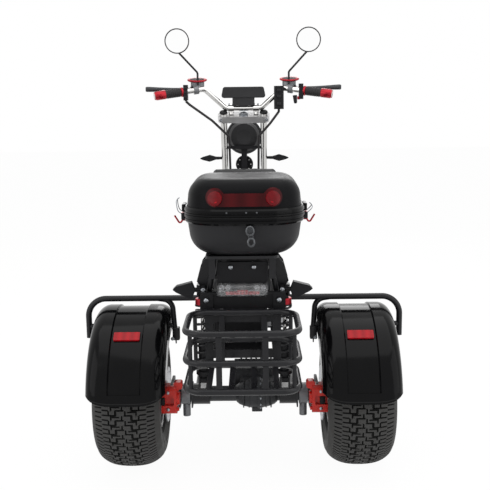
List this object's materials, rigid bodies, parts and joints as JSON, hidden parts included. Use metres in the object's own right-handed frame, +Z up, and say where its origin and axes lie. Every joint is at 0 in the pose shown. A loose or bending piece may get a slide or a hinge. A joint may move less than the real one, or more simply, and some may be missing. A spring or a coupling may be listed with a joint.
{
  "type": "motorized trike",
  "caption": "Three-wheeled electric trike with a raked front fork, fat rear tyres under fenders, luggage case with opening lid and rear wire basket.",
  "frame": {"origin": "middle of the footprint on the floor", "axes": "+Z up, +Y towards the front wheel, +X to the rider's right"},
  "size_m": [1.025, 2.043, 1.477],
  "materials": {
    "black_frame": "gloss",
    "bright": "polished",
    "clear_lens": "clear",
    "dark_cast": "satin",
    "deck": "satin",
    "gloss_shell": "gloss",
    "grey_cast": "satin",
    "matte_shell": "satin",
    "mirror": "polished",
    "red_lens": "gloss",
    "red_paint": "gloss",
    "rubber": "matte",
    "soft_vinyl": "satin",
    "steel": "brushed",
    "tyre": "matte"
  },
  "bodies": {
    "chassis": {"main_frame": "black_frame", "battery_box": "matte_shell", "footboard": "deck", "seat_pan": "black_frame", "seats": "soft_vinyl", "fender_left": "gloss_shell", "fender_right": "gloss_shell", "fender_reflectors": "red_lens", "guard_rails": "black_frame", "basket": "black_frame", "rear_stays": "black_frame", "tail_panel": "matte_shell", "tail_lamp": "clear_lens", "plate_panel": "matte_shell", "tail_bolts": "steel", "rear_signals": "matte_shell", "case_base": "matte_shell", "case_lock": "bright", "case_hooks": "red_paint", "case_rack": "black_frame", "axle_housing": "dark_cast", "axle_saddles": "grey_cast", "rear_calipers": "red_paint", "swingarm": "black_frame", "rear_shocks": "black_frame", "shock_caps": "red_paint"},
    "case_lid": {"case_lid": "gloss_shell", "lid_lens": "red_lens", "backrest_pad": "soft_vinyl"},
    "steering": {"fork_lowers": "grey_cast", "fork_tubes": "bright", "yokes": "grey_cast", "front_fender": "gloss_shell", "front_caliper": "red_paint", "handlebar": "bright", "grips": "rubber", "grip_ends": "red_paint", "switch_boxes": "matte_shell", "brake_tanks": "grey_cast", "tank_caps": "red_paint", "brake_levers": "dark_cast", "mirrors": "matte_shell", "mirror_glass": "mirror", "dash_panel": "gloss_shell", "headlight": "matte_shell", "headlight_lens": "clear_lens", "horn": "matte_shell", "front_signals": "matte_shell", "control_cables": "rubber"},
    "front_wheel": {"front_tyre": "tyre", "front_rim": "grey_cast", "front_disc": "steel"},
    "wheel_left": {"rear_tyre_left": "tyre", "rear_rim_left": "grey_cast", "rear_disc_left": "steel"},
    "wheel_right": {"rear_tyre_right": "tyre", "rear_rim_right": "grey_cast", "rear_disc_right": "steel"}
  },
  "joints": [
    {"name": "steering", "type": "hinge", "parent": "chassis", "child": "steering", "pos_m": [0, 0.52286, 0.66334], "axis": [0, -0.454, 0.891], "range_deg": [-35, 35]},
    {"name": "front_wheel_spin", "type": "hinge", "parent": "steering", "child": "front_wheel", "pos_m": [0, 0.7855, 0.236], "axis": [1, 0, 0], "continuous": true},
    {"name": "left_wheel_spin", "type": "hinge", "parent": "chassis", "child": "wheel_left", "pos_m": [-0.365, -0.5345, 0.2285], "axis": [1, 0, 0], "continuous": true},
    {"name": "right_wheel_spin", "type": "hinge", "parent": "chassis", "child": "wheel_right", "pos_m": [0.365, -0.5345, 0.2285], "axis": [1, 0, 0], "continuous": true},
    {"name": "case_lid", "type": "hinge", "parent": "chassis", "child": "case_lid", "pos_m": [0, -0.5245, 0.85825], "axis": [-1, 0, 0], "range_deg": [0, 75]}
  ]
}
